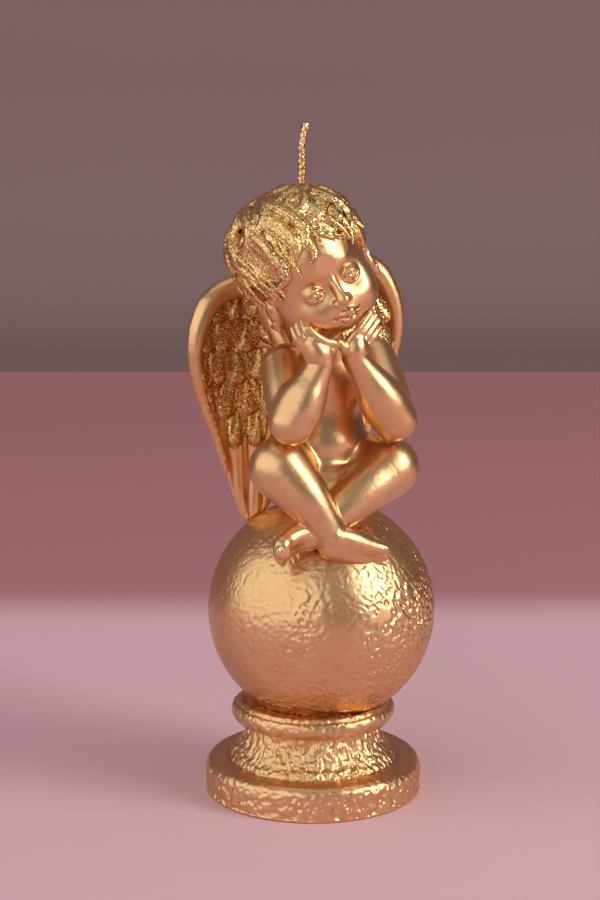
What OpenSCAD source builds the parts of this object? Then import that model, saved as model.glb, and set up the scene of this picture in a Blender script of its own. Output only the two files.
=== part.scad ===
// Gold figure candle: a winged cherub sits cross-legged on a ball, chin in hands.
// The ball stands on a turned foot, and one wick runs from the underside to the crown.
// Frame: origin at the centre of the underside, +Z up, the cherub faces -Y.
// "Right" and "left" are the cherub's own: its right side is at -X.

/* [Foot] */
// Radius of the round foot
foot_r = 24.5; // [20:0.5:30]
// Height of the foot's slab
foot_h = 8; // [6:0.5:10]
// Rounding of the slab's edge
foot_round = 2.6; // [1:0.1:2.8]
// Radius of the waist where it meets the slab
waist_r = 18.6; // [17:0.1:19.4]
// Radius of the hollow that is turned into the waist
waist_hollow_r = 7; // [6:0.5:9]
// Outer radius of the bead under the ball
bead_r = 18.4; // [17.5:0.1:20]
// Height of the bead's middle
bead_z = 19; // [18:0.5:20]
// Half thickness of the bead
bead_t = 2.5; // [1.5:0.1:2.6]

/* [Ball] */
// Radius of the ball
ball_r = 25.5; // [25:0.5:27]
// Height of the ball's centre
ball_z = 41.7; // [41:0.1:43]
// Sideways offset of the ball on its foot
ball_x = 2; // [0:0.1:2.5]

/* [Wick] */
// Radius of the wick
wick_r = 0.85; // [0.5:0.05:1.2]
// Length of wick that stands above the hair
wick_free = 12.6; // [6:0.2:16]

/* [Head] */
// Nod, lean and turn of the head in degrees
head_turn = [5, -27, -5]; // [-30:1:30]
// Thickness of the hair over the skull
hair_t = 1.5; // [1:0.1:2]

/* [Wings] */
// Thickness of a wing's sheet
wing_t = 2.4; // [1.6:0.1:3]
// Thickness of the feather lining on a wing's inner face
feather_t = 1.1; // [0.6:0.1:1.4]
// Width of the bare rim around the feather lining
feather_inset = 2.4; // [1.6:0.1:3]

/* [Hidden] */
$fn = 64;
hull_fn = 24;
ball_at = [ball_x, 0, ball_z];
head_at = [-5.2, -7, 120.8];
sole_round = 0.6;
// Share of the bead's half thickness below its middle, and of the hollow's radius that lies outside the waist
bead_below = 0.6;
hollow_out = 0.42;

// Head, in its own frame: face to -Y, crown to +Z
skull_r = 13.4;
skull_at = [0, 0.6, 2.4];
face_r = 10.4;
face_at = [0, -4.6, -5];
cheek_r = 5.6;
cheek_at = [4.6, -8, -8];
chin_r = 4.2;
chin_at = [0, -10.4, -12.6];
nose_r = 1.7;
nose_at = [0, -15.4, -4.6];
ear_r = 2.6;
ear_at = [12.4, -2.6, -4];
lobe_r = 1.5;
lobe_at = [11.8, -3.8, -7.2];
hair_at = [0, 1, 2.6];
brow_r = 10;
brow_at = [0, -13, -6];
temple_y = -6;
nape_z = -10;
block = 50;

// Joints of the body, right side and left side
shoulder = [[-9.4, -5, 98.6], [12.2, -5, 98.6]];
elbow = [[-13, -17, 88.9], [11.4, -17, 87.6]];
wrist = [[-6.8, -18.4, 101], [1.2, -18.2, 101.6]];
knuckle = [[-9, -17.4, 105.4], [4, -17, 106]];
fingertip = [[-11.4, -14.6, 109], [6.8, -14.4, 110]];
hip = [[-6, -0.5, 73.4], [7.6, -0.5, 73.4]];
knee = [[-13.6, -12, 77.8], [12.6, -12, 75.4]];
ankle = [[-2.2, -18.6, 63.8], [-8.6, -16, 63]];
toe = [[6, -21, 59.6], [-15.6, -15.4, 57.6]];
pelvis_at = [0.8, 1.5, 73.2];
belly_at = [1, -2.5, 81.5];
chest_at = [1.4, -2.6, 92];
collar_at = [1.2, -3.2, 97.8];
neck_at = [0.4, -5.4, 103];
nape_at = [[-1.4, -1, 95], [-2, -1, 109.5]];

// Radii of the torso from the seat up to the neck, and of the limbs from the body outwards
torso_r = [9.6, 8.8, 8, 6.4, 4.6];
nape_r = [3.8, 3.5];
upper_arm_r = 4.4;
elbow_r = 4.7;
wrist_r = 2.9;
palm_r = 3.1;
finger_r = 1.9;
thumb_r = 1.5;
hip_r = 7.4;
knee_r = 6.2;
ankle_r = 2.8;
toe_r = 2.3;

// Share of a joint's radius at which the next section starts inside it
tuck = 0.86;

// Wick: straight in the wax to the crown, then these shares of its free height and their lean
crown = [-2.4, 1, 137.6];
wick_lean = [[0.07, 0], [0.35, 0.1], [0.6, 0], [0.8, 0.5], [1, 1.1]];

// Wings: an upright sheet bent about an axis in front of it, and its outline's main sizes
wing_bend_r = 24;
wing_axis = [-16.5, -14.2];
wing_tip_z = 61;
sheet_h = 80;
wing_top_z = [116.4, 122.8];
wing_arch_r = 12.8;
wing_reach = 26.3;

gold = "goldenrod";
pale_gold = "palegoldenrod";
deep_gold = "darkgoldenrod";

// Places children along the line from p to q, with +Z pointing at q.
module along(p, q) {
  d = q - p;
  translate(p)
    rotate([0, acos(d[2] / norm(d)), atan2(d[1], d[0])])
      children();
}

// A round form whose seam is turned to the back.
module round_form(r) {
  rotate([0, 0, 90]) sphere(r);
}

// A limb through the given joints: a round at each, with slightly slimmer cones between.
module limb(joints, radii, slim = 0.94) {
  last = len(joints) - 1;
  for (i = [0 : last - 1]) {
    length = norm(joints[i + 1] - joints[i]);
    along(joints[i], joints[i + 1]) {
      sphere(radii[i]);
      cylinder(h = length, r1 = radii[i] * slim, r2 = radii[i + 1] * slim);
      if (i == last - 1) translate([0, 0, length]) sphere(radii[last]);
    }
  }
}

module ball_form() {
  translate(ball_at) sphere(ball_r);
}

// The wick's straight run, which every cast section is pierced by.
module wick_run() {
  along([0, 0, 0], crown) translate([0, 0, -1]) cylinder(h = norm(crown) + 2, r = wick_r);
}

// ---- foot ----
module base_disc() {
  color(gold) difference() {
    rotate_extrude() {
      square([foot_r - foot_round, foot_h]);
      translate([0, sole_round]) square([foot_r, foot_h - foot_round - sole_round]);
      square([foot_r - sole_round, 2 * sole_round]);
      translate([foot_r - foot_round, foot_h - foot_round]) circle(foot_round);
      translate([foot_r - sole_round, sole_round]) circle(sole_round);
    }
    wick_run();
  }
}

module base_waist() {
  top = bead_z - bead_t * bead_below;
  color(gold) difference() {
    rotate_extrude() difference() {
      translate([0, foot_h]) square([waist_r, top - foot_h]);
      translate([waist_r + waist_hollow_r * hollow_out, top - sole_round]) circle(waist_hollow_r);
    }
    wick_run();
  }
}

module base_bead() {
  low = bead_z - bead_t * bead_below;
  color(gold) difference() {
    rotate_extrude() difference() {
      union() {
        translate([0, low]) square([bead_r - bead_t, bead_t * (1 + bead_below)]);
        translate([bead_r - bead_t, bead_z]) circle(bead_t);
      }
      translate([0, low - bead_t]) square([waist_r - waist_hollow_r / 2, bead_t]);
    }
    ball_form();
    wick_run();
  }
}

module ball() {
  color(gold) difference() {
    ball_form();
    wick_run();
  }
}

// ---- body ----
module torso_form() {
  limb([pelvis_at, belly_at, chest_at, collar_at, neck_at], torso_r);
  nape_form();
}

// Wax behind the neck, round the wick from the back up under the hair.
module nape_form() {
  limb(nape_at, nape_r);
}

module torso() {
  color(gold) difference() {
    torso_form();
    ball_form();
    for (s = [0, 1]) thigh_form(s);
    for (s = [0, 1]) arm_form(s);
    head_form();
    wick_run();
  }
}

module arm_form(s) {
  limb([shoulder[s], elbow[s], wrist[s]], [upper_arm_r, elbow_r, wrist_r]);
}

module arm(s) {
  color(gold) difference() {
    arm_form(s);
    thigh_form(s);
  }
}

// A mitten stretch between two rounds.
module mitten(p, q, rp, rq) {
  hull() {
    translate(p) sphere(rp, $fn = hull_fn);
    translate(q) sphere(rq, $fn = hull_fn);
  }
}

// Palm, closed fingers and a thumb; the palm starts inside the wrist.
module hand_form(s) {
  side = s == 0 ? -1 : 1;
  thumb = [knuckle[s] - [side * 3, 1.2, 0.6], knuckle[s] + [-side * 4.4, -1.6, 2.4]];
  mitten(wrist[s], knuckle[s], wrist_r * tuck, palm_r);
  mitten(knuckle[s], fingertip[s], palm_r, finger_r);
  mitten(wrist[s], thumb[0], thumb_r, thumb_r * 1.05);
  mitten(thumb[0], thumb[1], thumb_r * 1.05, thumb_r * 0.8);
}

module hand(s) {
  color(gold) difference() {
    hand_form(s);
    arm_form(s);
    head_form();
  }
}

module thigh_form(s) {
  limb([hip[s], knee[s]], [hip_r, knee_r]);
}

// The shin starts inside the knee, and the foot inside the ankle.
module shin_form(s) {
  limb([knee[s], ankle[s]], [knee_r * tuck, ankle_r]);
}

module foot_form(s) {
  limb([ankle[s], toe[s]], [ankle_r * tuck, toe_r]);
}

module thigh(s) {
  color(gold) difference() {
    thigh_form(s);
    ball_form();
  }
}

// The right shin crosses over the left one.
module shin(s) {
  color(gold) difference() {
    shin_form(s);
    thigh_form(s);
    ball_form();
    if (s == 1) shin_form(0);
  }
}

module foot(s) {
  color(gold) difference() {
    foot_form(s);
    shin_form(s);
    ball_form();
  }
}

// ---- head ----
// Places children given in the head's own frame: face to -Y, crown to +Z.
module in_head() {
  translate(head_at) rotate(head_turn) children();
}

module head_form() {
  in_head() {
    translate(skull_at) round_form(skull_r);
    translate(face_at) round_form(face_r);
    for (side = [-1, 1]) translate([side * cheek_at[0], cheek_at[1], cheek_at[2]]) round_form(cheek_r);
    translate(chin_at) round_form(chin_r);
    translate(nose_at) round_form(nose_r);
  }
}

module head() {
  color(gold) difference() {
    head_form();
    wick_run();
  }
}

module hair() {
  color(pale_gold) difference() {
    in_head() difference() {
      translate(hair_at) sphere(skull_r + hair_t);
      translate([-block / 2, temple_y - block, -block]) cube(block);
      translate(brow_at) rotate([0, 90, 0]) cylinder(h = block, r = brow_r, center = true);
      translate([-block / 2, -block / 2, nape_z - block]) cube(block);
    }
    head_form();
    nape_form();
    for (side = [-1, 1]) ear_form(side);
    wick_run();
  }
}

module ear_form(side) {
  in_head() hull() {
    translate([side * ear_at[0], ear_at[1], ear_at[2]]) sphere(ear_r, $fn = hull_fn);
    translate([side * lobe_at[0], lobe_at[1], lobe_at[2]]) sphere(lobe_r, $fn = hull_fn);
  }
}

module ear(side) {
  color(gold) difference() {
    ear_form(side);
    in_head() translate(skull_at) round_form(skull_r);
    in_head() translate(face_at) round_form(face_r);
  }
}

// ---- wings ----
// Outline of a wing of height h: x outward from the back's middle, y up from the tip.
module wing_outline(h) {
  translate([wing_reach - wing_arch_r, h - wing_arch_r]) circle(wing_arch_r);
  polygon([
    [5, h - 4], [3.5, h - 8], [3.5, 30], [4.5, 14], [7.4, 5], [9.6, 2], [12.9, 0],
    [15.5, h * 0.11], [17.4, h * 0.215], [19.8, h * 0.34], [22.3, h * 0.45],
    [25, h * 0.58], [26.1, h - 17.5], [wing_reach, h - wing_arch_r]
  ]);
}

// One layer of the bent sheet, t thick, whose inner face has radius r.
module bent_sheet(r, t) {
  translate(wing_axis) difference() {
    cylinder(h = sheet_h, r = r + t);
    translate([0, 0, -1]) cylinder(h = sheet_h + 2, r = r);
  }
}

// A layer of wing s, cut to the outline less an edge band.
module wing_layer(s, r, t, band) {
  mirror([s, 0, 0]) translate([0, 0, wing_tip_z]) intersection() {
    bent_sheet(r, t);
    translate([0, 40, 0]) rotate([90, 0, 0]) mirror([1, 0]) linear_extrude(height = 40)
      offset(delta = -band) wing_outline(wing_top_z[s] - wing_tip_z);
  }
}

module wing(s) {
  color(deep_gold) difference() {
    wing_layer(s, wing_bend_r, wing_t, 0);
    torso_form();
    ball_form();
  }
}

module wing_feathers(s) {
  color(pale_gold) difference() {
    wing_layer(s, wing_bend_r - feather_t, feather_t, feather_inset);
    torso_form();
    head_form();
    ball_form();
  }
}

// ---- wick ----
module wick() {
  route = concat([[0, 0, 0], crown], [for (p = wick_lean) crown + [p[1], 0, p[0] * wick_free]]);
  sides = 12;
  rings = len(route);
  ring = [for (k = [0 : sides - 1]) wick_r * [cos(k * 360 / sides), sin(k * 360 / sides), 0]];
  points = [for (p = route, q = ring) p + q];
  walls = [
    for (i = [0 : rings - 2], k = [0 : sides - 1])
      let (a = i * sides + k, b = i * sides + (k + 1) % sides)
        [a, a + sides, b + sides, b]
  ];
  low_end = [for (k = [0 : sides - 1]) k];
  high_end = [for (k = [0 : sides - 1]) rings * sides - 1 - k];
  color(pale_gold) polyhedron(points, concat([low_end], walls, [high_end]));
}

base_disc();
base_waist();
base_bead();
ball();
wick();
torso();
head();
hair();
ear(-1);  // right_ear
ear(1);  // left_ear
arm(0);  // right_arm
arm(1);  // left_arm
hand(0);  // right_hand
hand(1);  // left_hand
thigh(0);  // right_thigh
thigh(1);  // left_thigh
shin(0);  // right_shin
shin(1);  // left_shin
foot(0);  // right_foot
foot(1);  // left_foot
wing(0);  // right_wing
wing(1);  // left_wing
wing_feathers(0);  // right_wing_feathers
wing_feathers(1);  // left_wing_feathers
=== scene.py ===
"""A gold candle of a winged cherub sitting on a ball, laid out as an add-on that sculpts each section."""

import math
import random

import bpy
import numpy as np
import openvdb as vdb
from mathutils import Euler, Matrix, Vector


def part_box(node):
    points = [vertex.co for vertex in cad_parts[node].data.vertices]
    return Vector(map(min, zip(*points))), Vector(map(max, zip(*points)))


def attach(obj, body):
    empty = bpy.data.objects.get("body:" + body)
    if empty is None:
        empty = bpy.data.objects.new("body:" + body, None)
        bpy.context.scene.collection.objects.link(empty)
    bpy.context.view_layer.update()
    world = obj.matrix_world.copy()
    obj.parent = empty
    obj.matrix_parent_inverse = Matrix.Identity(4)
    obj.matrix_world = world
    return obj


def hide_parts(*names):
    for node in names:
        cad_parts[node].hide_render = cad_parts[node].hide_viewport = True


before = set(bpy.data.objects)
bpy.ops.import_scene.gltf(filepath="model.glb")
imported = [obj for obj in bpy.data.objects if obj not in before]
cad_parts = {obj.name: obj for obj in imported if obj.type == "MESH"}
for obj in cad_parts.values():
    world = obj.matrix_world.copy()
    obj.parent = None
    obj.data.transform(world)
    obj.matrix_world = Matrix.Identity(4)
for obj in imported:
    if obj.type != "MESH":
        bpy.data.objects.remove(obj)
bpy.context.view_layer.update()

bl_info = {
    "name": "Cherub Figure Candle",
    "version": (1, 0, 0),
    "blender": (4, 5, 0),
    "location": "3D View > Sidebar > Cherub",
    "description": "Sculpts a gold lacquered cherub candle section by section",
    "category": "Add Mesh",
}

MM = 0.001
FAR = 50.0  # a distance beyond every form, for empty clay
SIDES = (-1, 1)  # the cherub's right side, then its left
STAGE_TURN = math.radians(25)  # how far round the floor and the camera stand from the cherub's front


# ---------------------------------------------------------------- sculpting, in millimetres


def lattice_noise(points, size, seed):
    """Smooth noise of about -1 to 1 with features of the given size."""
    cell = np.asarray(points) / size + seed * 17.31
    low = np.floor(cell).astype(np.int64)
    part = cell - low
    ease = part**3 * (part * (part * 6 - 15) + 10)
    total = np.zeros(len(cell))
    for corner in np.ndindex(2, 2, 2):
        at = low + corner
        key = (at[:, 0] * 73856093) ^ (at[:, 1] * 19349663) ^ (at[:, 2] * 83492791)
        key = ((key ^ (key >> 13)) * 1274126177) & 0x3FFFFFFF
        slope = np.stack([key & 1023, (key >> 10) & 1023, (key >> 20) & 1023], axis=-1) / 511.5 - 1
        weight = np.prod(np.where(corner, ease, 1 - ease), axis=-1)
        total += weight * ((part - corner) * slope).sum(axis=-1)
    return total * 1.7


def smooth_min(a, b, blend):
    """The nearer of two distances, rounded where they are within 1.5 blend of each other."""
    if blend <= 0:
        return np.minimum(a, b)
    reach = blend * 1.5
    share = np.maximum(reach - np.abs(a - b), 0) / reach
    return np.minimum(a, b) - share**3 * reach / 6


def smooth_max(a, b, blend):
    """The farther of two distances, rounded in the same way."""
    return -smooth_min(-a, -b, blend)


def fade(value, start, end):
    """0 before start, 1 after end, eased between."""
    t = np.clip((value - start) / (end - start), 0, 1)
    return t * t * (3 - 2 * t)


def limb(joints, radii):
    """Round stretches through the joints, as (low corner, high corner, distance function)."""
    joints = np.array(joints, float)
    radii = np.array(radii, float)

    def distance(x, y, z):
        nearest = None
        for p, q, a, b in zip(joints, joints[1:], radii, radii[1:]):
            d = q - p
            dx, dy, dz = x - p[0], y - p[1], z - p[2]
            t = np.clip((dx * d[0] + dy * d[1] + dz * d[2]) / (d @ d), 0, 1)
            off = np.sqrt((dx - t * d[0]) ** 2 + (dy - t * d[1]) ** 2 + (dz - t * d[2]) ** 2)
            out = off - (a + (b - a) * t)
            nearest = out if nearest is None else np.minimum(nearest, out)
        return nearest

    return joints.min(0) - radii.max(), joints.max(0) + radii.max(), distance


def tube(stops, count=14):
    """A round stretch with a smooth outline through (x, y, z, radius) stops."""
    line = smooth_path(stops, count)
    return limb(line[:, :3], line[:, 3])


def spindle(p, q, radii, bow=(0, 0, 0)):
    """A round limb from p to q through evenly spaced radii, bent aside by bow at its middle."""
    p, q, bow = (np.array(v, float) for v in (p, q, bow))
    d = q - p
    outline = smooth_path(np.array(radii, float)[:, None], 80)[:, 0]

    def distance(x, y, z):
        dx, dy, dz = x - p[0], y - p[1], z - p[2]
        t = np.clip((dx * d[0] + dy * d[1] + dz * d[2]) / (d @ d), 0, 1)
        aside = 4 * t * (1 - t)
        off = sum((v - t * k - aside * b) ** 2 for v, k, b in zip((dx, dy, dz), d, bow))
        return np.sqrt(off) - np.interp(t, np.linspace(0, 1, len(outline)), outline)

    reach = outline.max() + np.linalg.norm(bow)
    return np.minimum(p, q) - reach, np.maximum(p, q) + reach, distance


def oval(centre, radii, turn=(0, 0, 0)):
    """An ellipsoid, turned by the given degrees about its centre."""
    centre = np.array(centre, float)
    radii = np.array(np.broadcast_to(radii, 3), float)
    axes = np.array(Euler([math.radians(a) for a in turn]).to_matrix())

    def distance(x, y, z):
        dx, dy, dz = x - centre[0], y - centre[1], z - centre[2]
        near, slope = 0, 0
        for k in range(3):
            along = dx * axes[0, k] + dy * axes[1, k] + dz * axes[2, k]
            near = near + (along / radii[k]) ** 2
            slope = slope + (along / radii[k] ** 2) ** 2
        return np.sqrt(near) * (np.sqrt(near) - 1) / np.maximum(np.sqrt(slope), 1e-6)

    return centre - radii.max(), centre + radii.max(), distance


class Clay:
    """A block of clay: a grid of distances to a surface that forms are added to and cut from."""

    def __init__(self, low, high, step):
        self.low = np.array(low, float)
        self.step = step
        self.size = np.ceil((np.array(high, float) - self.low) / step).astype(int) + 1
        self.axes = [(lo + step * np.arange(n)).astype(np.float32) for lo, n in zip(self.low, self.size)]
        self.field = self.blank()

    def blank(self):
        return np.full(self.size, FAR, np.float32)

    def grid(self):
        x, y, z = self.axes
        return x[:, None, None], y[None, :, None], z[None, None, :]

    def window(self, low, high, margin):
        """The slices of the grid around a box, and their coordinates; None when the box is outside."""
        cuts = [
            slice(*np.searchsorted(axis, (lo - margin, hi + margin)))
            for axis, lo, hi in zip(self.axes, low, high)
        ]
        if any(cut.start >= cut.stop for cut in cuts):
            return None, None
        x, y, z = (axis[cut] for axis, cut in zip(self.axes, cuts))
        return tuple(cuts), (x[:, None, None], y[None, :, None], z[None, None, :])

    def press(self, form, blend=0.3, cut=False, field=None):
        """Adds a form, or cuts it away, in the clay's own field or in the one given."""
        field = self.field if field is None else field
        low, high, distance = form
        where, at = self.window(low, high, blend * 1.5 + 3 * self.step)
        if where is None:
            return self
        near = distance(*at).astype(np.float32)
        if cut:
            field[where] = smooth_max(field[where], -near, blend)
        else:
            field[where] = smooth_min(field[where], near, blend)
        return self

    def swell(self, at, reach, amount):
        """Raises the surface softly round a place, or sinks it when the amount is negative."""
        at = np.array(at, float)
        where, (x, y, z) = self.window(at - reach * 3.4, at + reach * 3.4, 0)
        near = ((x - at[0]) ** 2 + (y - at[1]) ** 2 + (z - at[2]) ** 2) / reach**2
        self.field[where] -= (amount * np.exp(-0.5 * near)).astype(np.float32)
        return self

    def cast(self, forms):
        """A field of its own with the given (form, blend) pairs in it."""
        field = self.blank()
        for form, blend in forms:
            self.press(form, blend, field=field)
        return field

    def skin(self, smoothing=2):
        """The surface as points and quads that face outwards."""
        volume = vdb.FloatGrid(FAR)
        field = self.field.copy()
        for axis in range(3):
            edge = [slice(None)] * 3
            for end in (0, -1):
                edge[axis] = end
                field[tuple(edge)] = np.maximum(field[tuple(edge)], self.step)
        volume.copyFromArray(np.clip(field, -FAR, FAR), tolerance=0.0)
        volume.transform = vdb.createLinearTransform(self.step)
        points, faces = volume.convertToQuads(0.0)
        points = np.array(points, float) + self.low
        faces = np.array(faces, int)
        corner = points[faces]
        across = np.cross(corner[:, 2] - corner[:, 0], corner[:, 3] - corner[:, 1])
        if (corner.mean(axis=1) * across).sum() < 0:
            faces = faces[:, ::-1]
        return relax(points, faces, smoothing), faces


def relax(points, faces, rounds):
    """Evens out a surface without shrinking it much."""
    ends = np.stack([faces, np.roll(faces, -1, axis=1)], axis=-1).reshape(-1, 2)
    count = np.bincount(ends[:, 0], minlength=len(points))[:, None]
    for share in (0.5, -0.35) * rounds:
        total = [np.bincount(ends[:, 0], points[ends[:, 1], k], len(points)) for k in range(3)]
        total = np.stack(total, axis=-1)
        points = points + share * (total / np.maximum(count, 1) - points)
    return points


def outward(points, faces):
    """A unit normal at each point."""
    corner = points[faces]
    across = np.cross(corner[:, 2] - corner[:, 0], corner[:, 3] - corner[:, 1])
    total = [sum(np.bincount(faces[:, c], across[:, k], len(points)) for c in range(4)) for k in range(3)]
    total = np.stack(total, axis=-1)
    return total / np.maximum(np.linalg.norm(total, axis=-1, keepdims=True), 1e-9)


def smooth_path(stops, count):
    """A curve of count points through the stops."""
    stops = np.array(stops, float)
    padded = np.vstack([2 * stops[0] - stops[1], stops, 2 * stops[-1] - stops[-2]])
    out = []
    for t in np.linspace(0, len(stops) - 1, count):
        k = min(int(t), len(stops) - 2)
        f = t - k
        a, b, c, d = padded[k : k + 4]
        bend, twist = 2 * a - 5 * b + 4 * c - d, 3 * b - a - 3 * c + d
        out.append(0.5 * (2 * b + (c - a) * f + bend * f * f + twist * f**3))
    return np.array(out)


def add_piece(name, points, faces, finish, slot, nodes):
    """A closed mesh piece in the frame, standing for its CAD nodes."""
    mesh = bpy.data.meshes.new(name)
    mesh.from_pydata((np.asarray(points) * MM).tolist(), [], [list(map(int, face)) for face in faces])
    if mesh.validate():
        raise RuntimeError(name + " has broken faces")
    mesh.polygons.foreach_set("use_smooth", [True] * len(mesh.polygons))
    mesh.materials.append(finish)
    piece = bpy.data.objects.new(name, mesh)
    bpy.context.scene.collection.objects.link(piece)
    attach(piece, "root")
    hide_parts(*nodes)
    return piece


# ---------------------------------------------------------------- the figure's landmarks, in millimetres

SHOULDER = ((-9.4, -5, 98.4), (12.2, -5, 98.4))
ELBOW = ((-13, -16.8, 88.6), (11.4, -16.8, 87.4))
WRIST = ((-6.9, -18.5, 101), (1, -18.3, 101.6))
HIP = ((-6, -0.5, 74), (7.6, -0.5, 74))
KNEE = ((-13.6, -12, 77.8), (12.6, -12, 75.6))
ANKLE = ((-4.4, -18.6, 63.6), (-8.6, -16, 63.2))
HEAD_AT = (-5.2, -7, 120.8)
HEAD_TURN = (5, -27, -5)
WICK_CROWN = (-2.4, 1, 137.6)
WICK_BORE = 0.86  # the wick's radius, and the bore's
BLEND_SKIN = 1.7
BLEND_CREASE = 0.35


def torso_forms():
    """Seat, belly, chest, lap, shoulders, neck, nape, buttocks and shoulder blades."""
    seat_back = 6.2
    return [
        (oval((0.8, 1.2, 73.4), (10.6, 9, 8.4)), 0),
        (oval((1, -2.4, 80.6), (10, 9, 8.8)), 4),
        (oval((1.2, -2, 91), (9.6, 7.6, 8.6)), 4),
        (oval((-1, -8.5, 71.4), (6.4, 6.6, 6.4)), 2.5),
        (limb([(-6.4, -4, 97.2), (9, -4, 97.2)], [4.9, 4.9]), 3.4),
        (tube([(1, -3.4, 97.4, 5.4), (-0.6, -5.4, 104, 4.8), (-2, -6, 108, 4.8)], 8), 2.6),
        (limb([(-1.4, -0.8, 95), (-2, -0.9, 109.5)], [3.5, 3.3]), 1.4),
        (oval((-3.6, seat_back, 69.6), (5.4, 4.6, 5)), 1.6),
        (oval((5.2, seat_back, 69.6), (5.4, 4.6, 5)), 1.6),
        (oval((-4.2, 3.2, 93), (3.6, 3, 4.6)), 2.4),
        (oval((6.4, 3.2, 93), (3.6, 3, 4.6)), 2.4),
    ]


def arm_forms(s):
    """An upper arm and a plump forearm."""
    shoulder, elbow, wrist = SHOULDER[s], ELBOW[s], WRIST[s]
    return [
        (spindle(shoulder, elbow, [5, 5.2, 4.7]), 0),
        (spindle(elbow, wrist, [4.8, 5.15, 4.6, 3.5, 2.75]), 0.9),
    ]


def hand_forms(s):
    """A palm with four fingers side by side along the jaw, and a thumb under the chin."""
    if s == 0:
        palm = [(-6.9, -18.4, 101.7, 2.7), (-7.9, -18.3, 103.4, 3), (-8.9, -18.1, 105.2, 2.5)]
        heel = oval((-6.4, -18.6, 103.4), (2, 2.1, 2.2))
        base, middle, tip = (-11.1, -18, 104.3), (-12.5, -18.2, 106.6), (-13, -16.9, 108.8)
        beside = (0.95, -0.12, 0.62)
        spread = (0.16, 0, 0)
        thumb = [(-5, -18.9, 103.6, 1.4), (-4.4, -19.6, 105.2, 1.1), (-6.6, -19.9, 105.9, 0.95)]
        thumb += [(-9, -19.7, 107.4, 0.85), (-10.2, -19.1, 108.9, 0.7)]
    else:
        palm = [(1, -18.3, 102, 2.6), (0.9, -18.4, 103.6, 2.8), (1.3, -18.3, 105.2, 2.2)]
        heel = oval((2.4, -18, 103.6), (1.8, 2, 2))
        base, middle, tip = (-1.2, -19.1, 104.9), (1.5, -19.3, 108.1), (4.9, -18.3, 111.4)
        beside = (1.15, 0.12, -0.75)
        spread = (-0.12, 0.1, -0.25)
        thumb = [(-0.9, -18.6, 103.2, 1.3), (-2.2, -19.2, 104.4, 1.05), (-3.2, -19.3, 105.5, 0.85)]
    forms = [(tube(palm, 8), 0), (heel, 1.2)]
    for i in range(4):
        shift = np.array(beside) * i
        thick = (0.8, 0.84, 0.8, 0.7)[i]
        reach = (0.92, 1, 0.96, 0.8)[i]
        end = np.array(middle) + (np.array(tip) - middle) * reach + np.array(spread) * i
        joints = [(*(np.array(place) + shift), thick) for place in (base, middle)]
        joints.append((*(end + shift), thick * 0.8))
        forms.append((tube(joints, 9), 0.28))
    forms.append((tube(thumb, 12), 0.45))
    return forms


def thigh_forms(s):
    """A plump thigh from the hip to the round of the knee."""
    return [(spindle(HIP[s], KNEE[s], [7.4, 7.3, 6.5]), 0)]


def shin_forms(s):
    """A shin that bows forwards and narrows to the ankle."""
    return [(spindle(KNEE[s], ANKLE[s], [6.1, 5.9, 5.2, 4.2, 3.3], (0, -0.8, 0.5)), 0)]


def foot_forms(s):
    """An instep and a flat sole, with five toes from the big one, which has its nail, to the small one."""
    if s == 0:
        top = [(-4.2, -19, 63.4, 2.7), (0.2, -19.7, 62, 2.5), (4.2, -19.9, 60.4, 2)]
        sole = [(-5, -18.6, 60.6, 2.4), (-0.4, -18.9, 58.8, 2.1), (3.5, -18.8, 57.2, 1.7)]
        big = [(4.6, -20.1, 60.5, 1.4), (6.4, -20.4, 59.8, 1.45), (7.4, -20.2, 59.1, 1.3)]
        nail = oval((7.2, -21.3, 59.9), (0.95, 0.5, 0.75), (0, 25, 0))
        first, last, reach = (5, -20.3, 58.7), (4.4, -19.4, 56.2), (2.2, -0.5, -0.6)
    else:
        top = [(-9.8, -16.6, 64.4, 2.5), (-12.4, -17.2, 64, 2.2), (-14.8, -17.9, 63.2, 2)]
        sole = [(-10, -16, 61.8, 1.9), (-12.8, -16.2, 61, 1.6), (-15, -17, 59.8, 1.4)]
        big = [(-14.8, -18, 63.2, 1.8), (-16.2, -19, 62.7, 1.95), (-16.8, -19.4, 61, 1.7)]
        nail = oval((-17.7, -20.6, 61.6), (1.1, 0.7, 1.5), (0, 0, 35))
        first, last, reach = (-15.8, -18.2, 60), (-15, -17, 58.4), (-1.3, -1.5, -0.5)
    first, last, reach = (np.array(p, float) for p in (first, last, reach))
    forms = [(tube(top, 12), 0), (tube(sole, 12), 2), (tube(big, 8), 0.5), (nail, 0.05)]
    for i in range(4):
        root = first + (last - first) * i / 3
        thick = (0.84, 0.78, 0.72, 0.66)[i]
        end = root + reach * (0.95, 0.85, 0.72, 0.55)[i]
        joints = [(*root, thick * 0.9), (*((root + end) / 2), thick * 0.8), (*end, thick)]
        forms.append((tube(joints, 5), 0.08))
    return forms


# Each limb's sections from the torso outwards, and how softly each kind joins the one before it
LIMBS = (
    ("right_arm", "right_hand"),
    ("left_arm", "left_hand"),
    ("right_thigh", "right_shin", "right_foot"),
    ("left_thigh", "left_shin", "left_foot"),
)
JOIN_BLEND = {"arm": BLEND_SKIN, "thigh": BLEND_SKIN, "shin": 1.6, "hand": BLEND_CREASE, "foot": BLEND_CREASE}


def body_forms():
    """Every skin section's forms. Where two meet, the later one in this order covers the earlier."""
    forms = {"torso": torso_forms()}
    for s, side in enumerate(("right", "left")):
        forms[side + "_thigh"] = thigh_forms(s)
        forms[side + "_shin"] = shin_forms(s)
        forms[side + "_foot"] = foot_forms(s)
        forms[side + "_arm"] = arm_forms(s)
        forms[side + "_hand"] = hand_forms(s)
    return forms


def ball_form():
    """The ball, as wide as its solid in the frame and centred on it."""
    low, high = (np.array(c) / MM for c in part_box("ball"))
    return oval((low + high) / 2, (high[1] - low[1]) / 2)


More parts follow.
